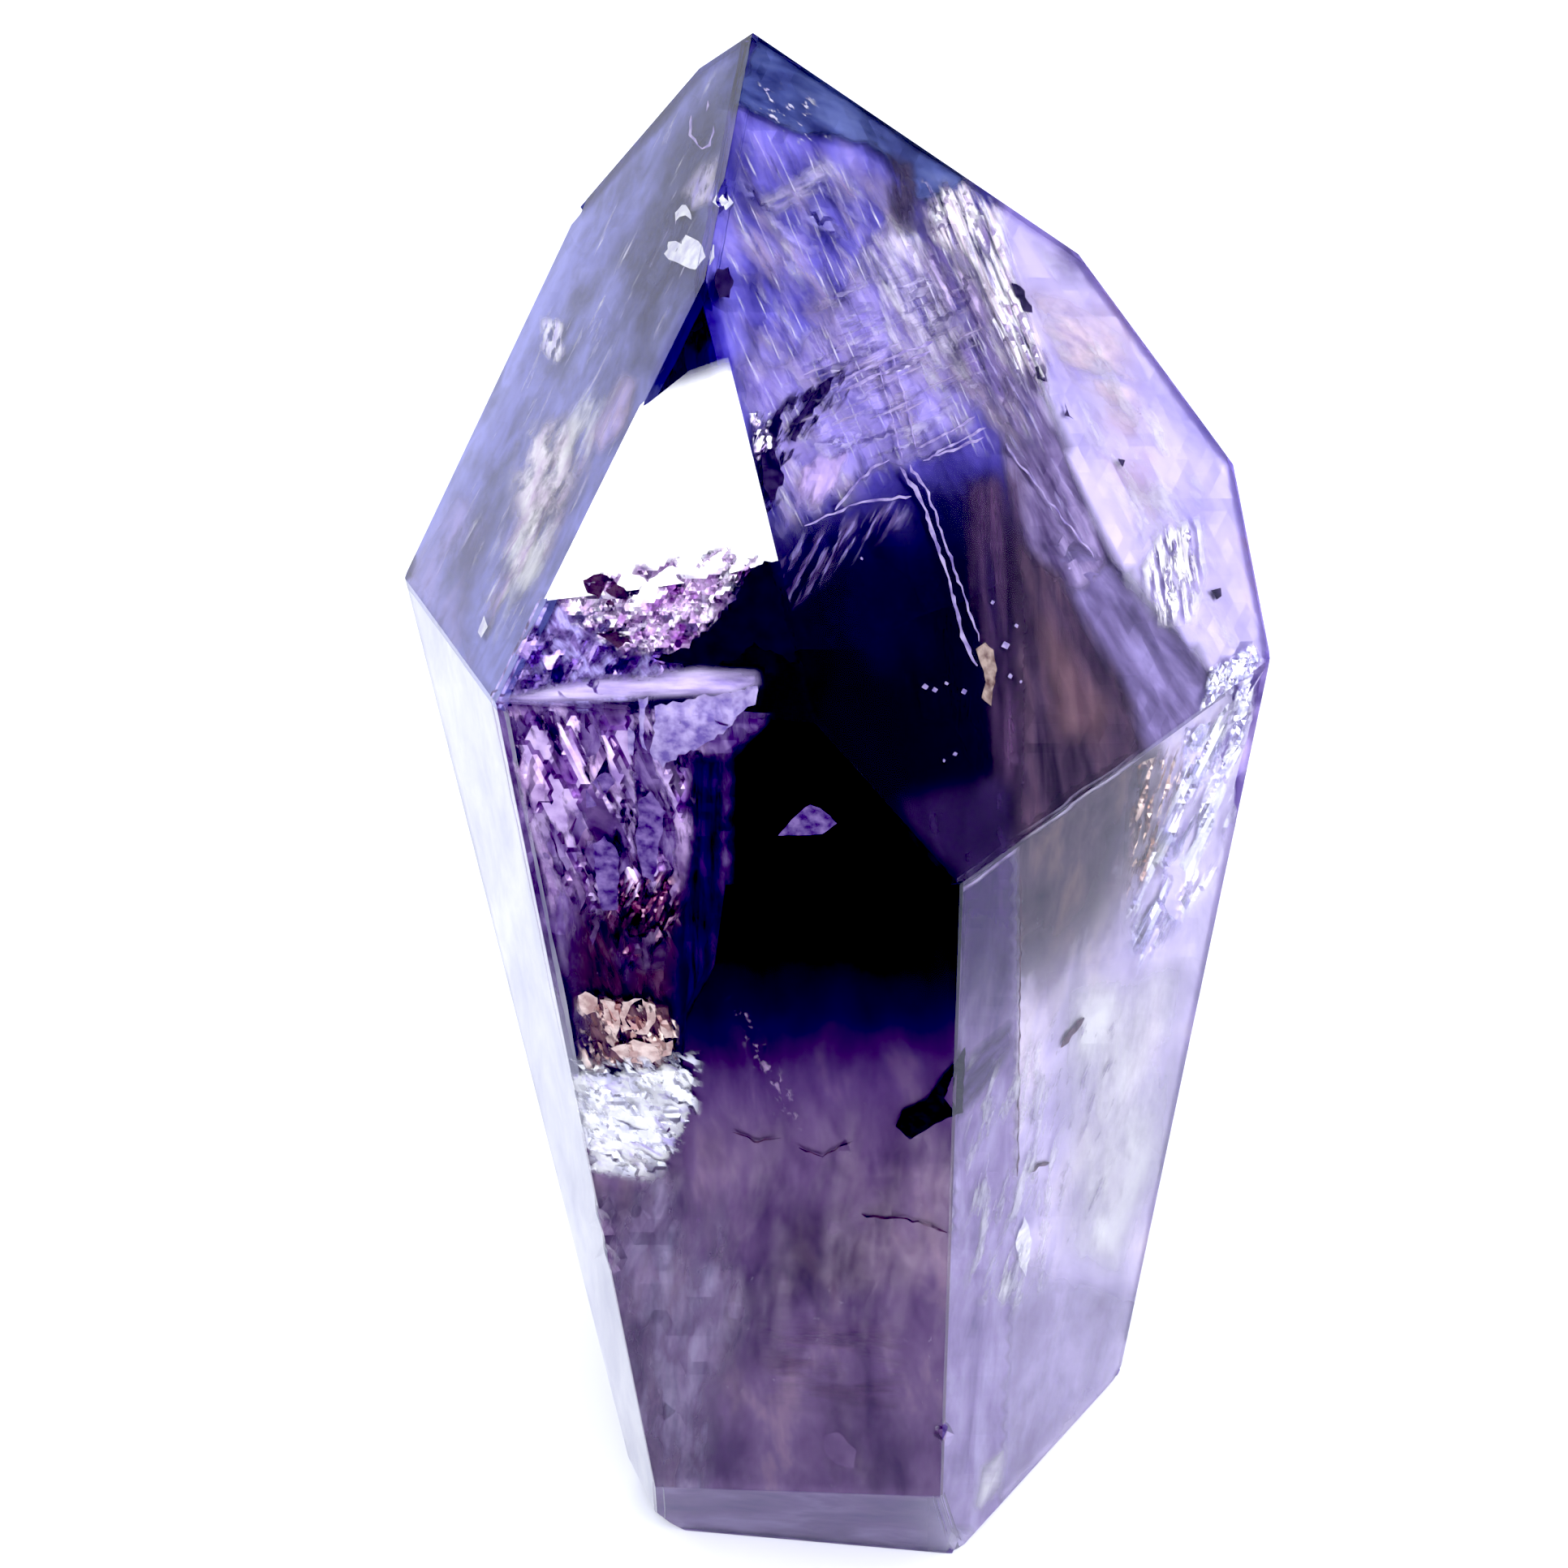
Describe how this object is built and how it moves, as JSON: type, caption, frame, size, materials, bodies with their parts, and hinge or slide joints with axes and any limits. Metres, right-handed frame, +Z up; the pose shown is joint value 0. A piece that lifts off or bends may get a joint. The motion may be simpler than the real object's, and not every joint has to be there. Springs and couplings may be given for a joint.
{
  "type": "phantom amethyst",
  "caption": "Polished violet quartz tower: a six-sided prism that narrows to a cut base, with a faceted point and a dark phantom inside.",
  "frame": {"origin": "middle of the crystal's box, on the surface that the cut base stands on", "axes": "+Z up the crystal to its tip; -Y is the side with the small triangular tip facet over the front face; +X to that side's right"},
  "size_m": [0.0502, 0.0444, 0.1],
  "materials": {
    "amethyst": "polished clear to deep violet quartz"
  },
  "bodies": {
    "root": {"crystal": "amethyst"}
  },
  "joints": []
}
